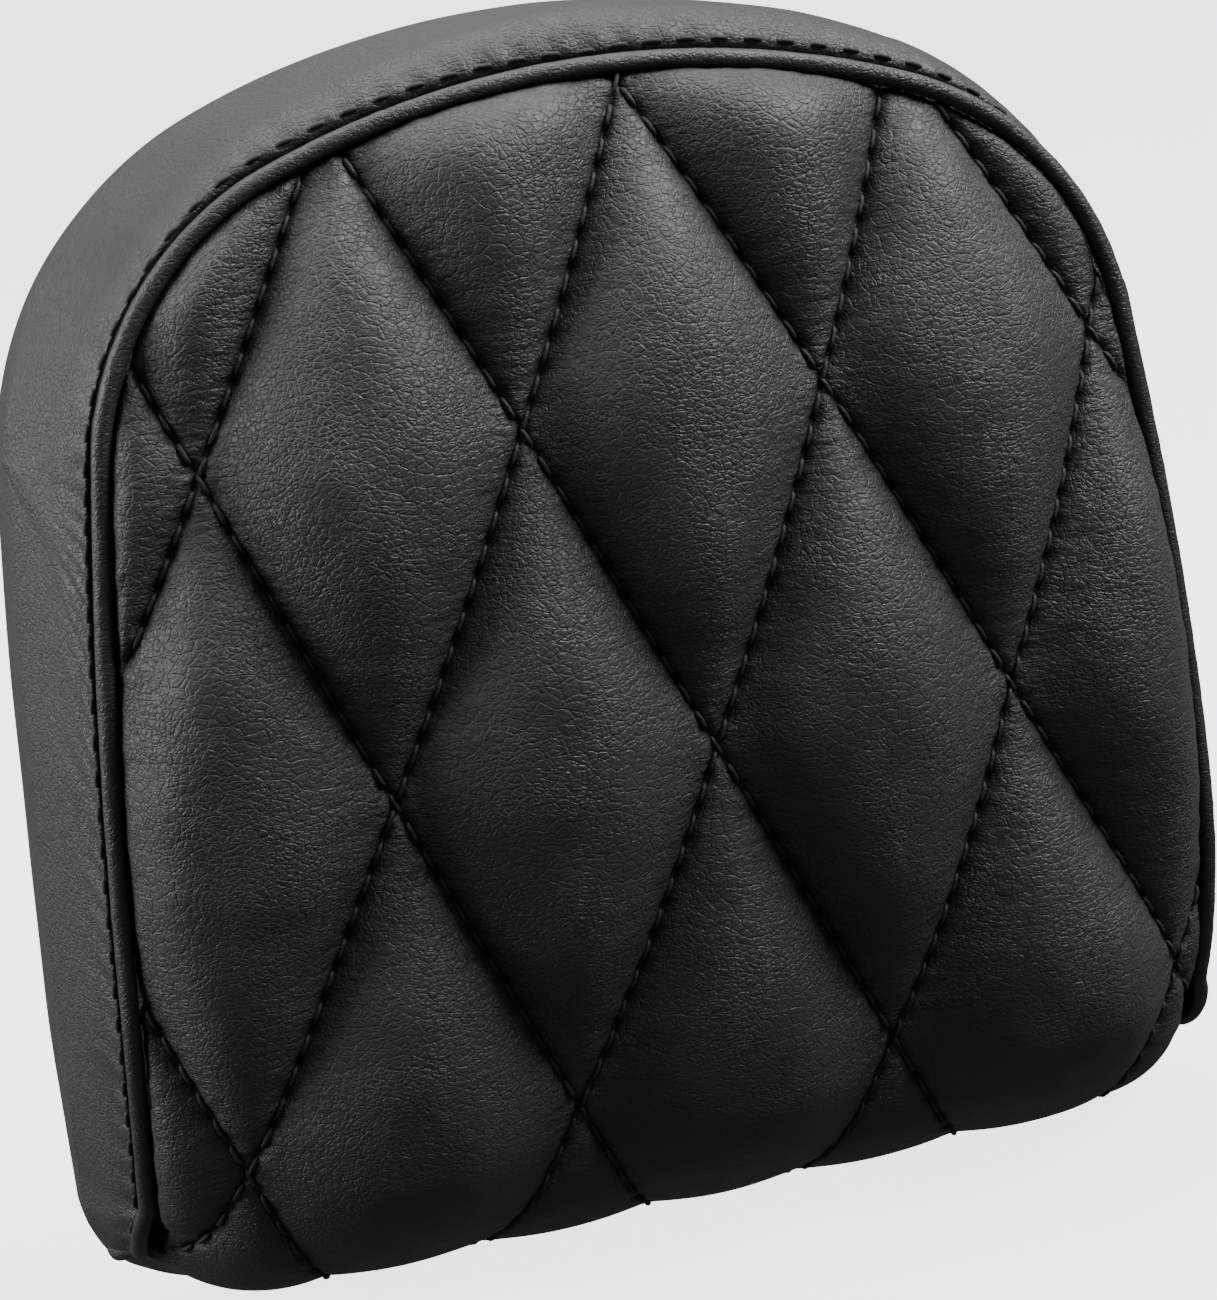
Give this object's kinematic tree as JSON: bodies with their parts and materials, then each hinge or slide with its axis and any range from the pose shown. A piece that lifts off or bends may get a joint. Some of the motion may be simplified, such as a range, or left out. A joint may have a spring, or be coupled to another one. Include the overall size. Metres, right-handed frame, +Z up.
{
  "type": "motorcycle passenger backrest pad",
  "caption": "Padded passenger backrest for a motorcycle: arched diamond-quilted vinyl front with piped edge and plain side boxing, on a flat moulded base with bolt holes in the back.",
  "frame": {"origin": "centre of the four-hole mounting pattern, in the plane of the back panel's outer face", "axes": "+Z up along the pad, +X to the right seen from the quilted front, +Y out of the back towards the bracket; the quilted front faces -Y"},
  "size_m": [0.217, 0.0608, 0.2149],
  "materials": {
    "black_vinyl": "satin grained",
    "piping_vinyl": "satin grained",
    "cotton_cord": "matte",
    "foam": "matte",
    "backing_cloth": "matte",
    "thread": "satin",
    "base_plastic": "matte",
    "back_plastic": "textured matte",
    "brass": "machined",
    "staple_steel": "bright",
    "black_steel": "black zinc"
  },
  "bodies": {
    "root": {"front_panel": "black_vinyl", "side_boxing": "black_vinyl", "piping_cover": "piping_vinyl", "piping_cord": "cotton_cord", "quilt_foam": "foam", "quilt_scrim": "backing_cloth", "boxing_liner": "foam", "foam_core": "foam", "quilt_thread_rising": "thread", "quilt_thread_falling": "thread", "topstitch_thread": "thread", "seam_thread": "thread", "base_plate": "base_plastic", "threaded_inserts": "brass", "staples": "staple_steel", "back_panel": "back_plastic", "back_panel_screws": "black_steel"}
  },
  "joints": []
}
